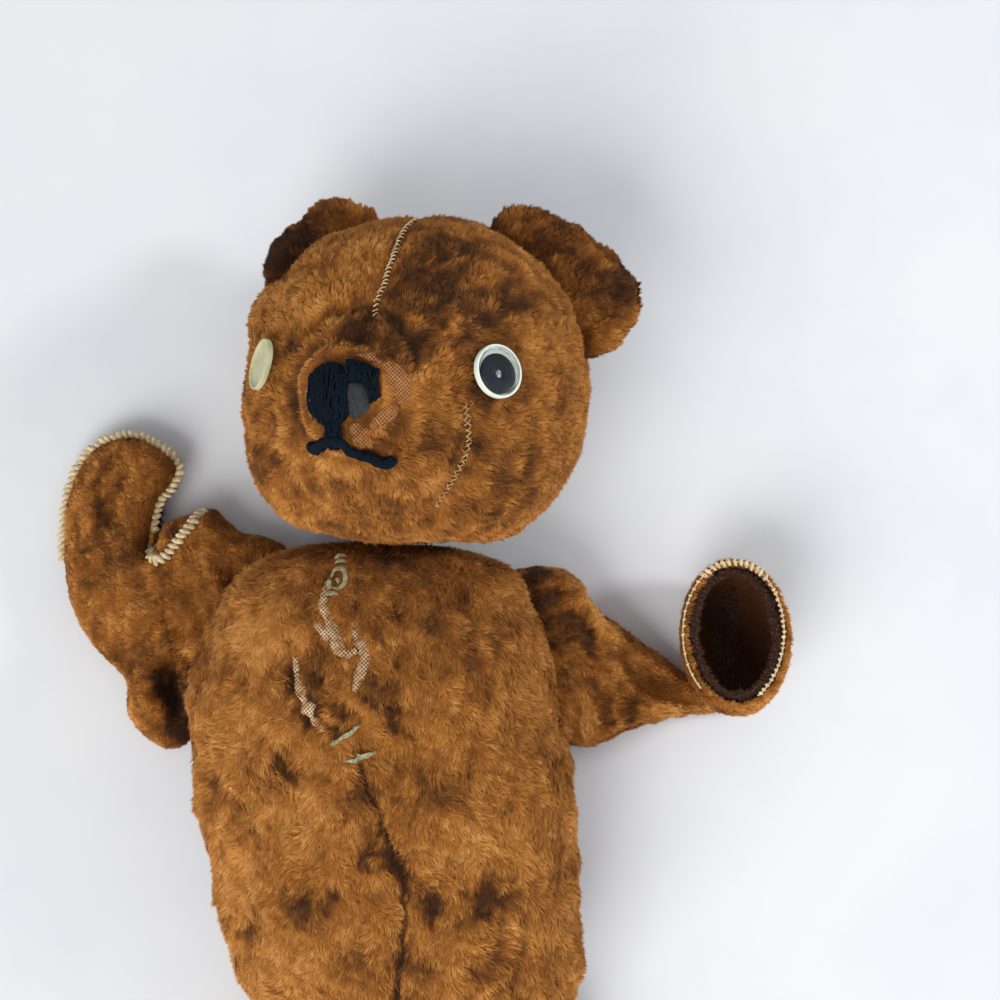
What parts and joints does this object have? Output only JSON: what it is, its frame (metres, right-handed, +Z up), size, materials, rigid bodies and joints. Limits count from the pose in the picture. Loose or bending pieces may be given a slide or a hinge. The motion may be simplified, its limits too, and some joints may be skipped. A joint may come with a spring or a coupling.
{
  "type": "threadbare teddy bear",
  "caption": "Old stuffed plush bear lying on its back, with emptied arms, a worn stitched nose, one complete domed eye and hand-sewn repairs.",
  "frame": {"origin": "under the middle of the bear's box, on the surface it lies on", "axes": "+Z up out of the bear's front, +Y towards the top of its head, +X towards its left arm"},
  "size_m": [0.2686, 0.4122, 0.1123],
  "materials": {
    "plush_coat": "matted brown mohair plush, worn",
    "plush_ear": "dark brown plush, worn",
    "paw_cloth": "very dark brown brushed cloth",
    "stuffing": "matted kapok",
    "cream_thread": "cream wool thread",
    "tan_thread": "tan cotton thread",
    "green_thread": "pale green cotton thread",
    "nose_wool": "dark navy wool in satin stitch",
    "nose_felt": "worn grey felt",
    "eye_cream": "aged white plastic",
    "eye_olive": "yellowed plastic, scuffed",
    "eye_black": "blue-black plastic",
    "eye_clear": "clear domed plastic"
  },
  "bodies": {
    "root": {"head_left_panel": "plush_coat", "head_right_panel": "plush_coat", "head_muzzle_panel": "plush_coat", "head_stuffing": "stuffing", "nose_embroidery": "nose_wool", "nose_felt_patch": "nose_felt", "mouth_stitch": "nose_wool", "crown_seam_thread": "cream_thread", "cheek_seam_thread": "tan_thread", "left_eye_case": "eye_cream", "left_eye_pupil": "eye_black", "left_eye_lens": "eye_clear", "right_eye_case": "eye_olive", "left_ear_front": "plush_ear", "left_ear_back": "plush_ear", "right_ear_front": "plush_ear", "right_ear_back": "plush_ear", "body_left_panel": "plush_coat", "body_right_panel": "plush_coat", "body_stuffing": "stuffing", "chest_repair_top": "green_thread", "chest_repair_middle": "green_thread", "chest_repair_low": "green_thread", "left_arm_inner_panel": "plush_coat", "left_arm_outer_panel": "plush_coat", "left_paw_pad": "paw_cloth", "left_paw_edging": "cream_thread", "right_arm_outer_panel": "plush_coat", "right_arm_inner_panel": "plush_coat", "right_paw_pad": "paw_cloth", "right_paw_edging": "cream_thread", "left_leg_outer_panel": "plush_coat", "left_leg_inner_panel": "plush_coat", "left_leg_stuffing": "stuffing", "left_foot_pad": "paw_cloth", "right_leg_outer_panel": "plush_coat", "right_leg_inner_panel": "plush_coat", "right_leg_stuffing": "stuffing", "right_foot_pad": "paw_cloth"}
  },
  "joints": []
}
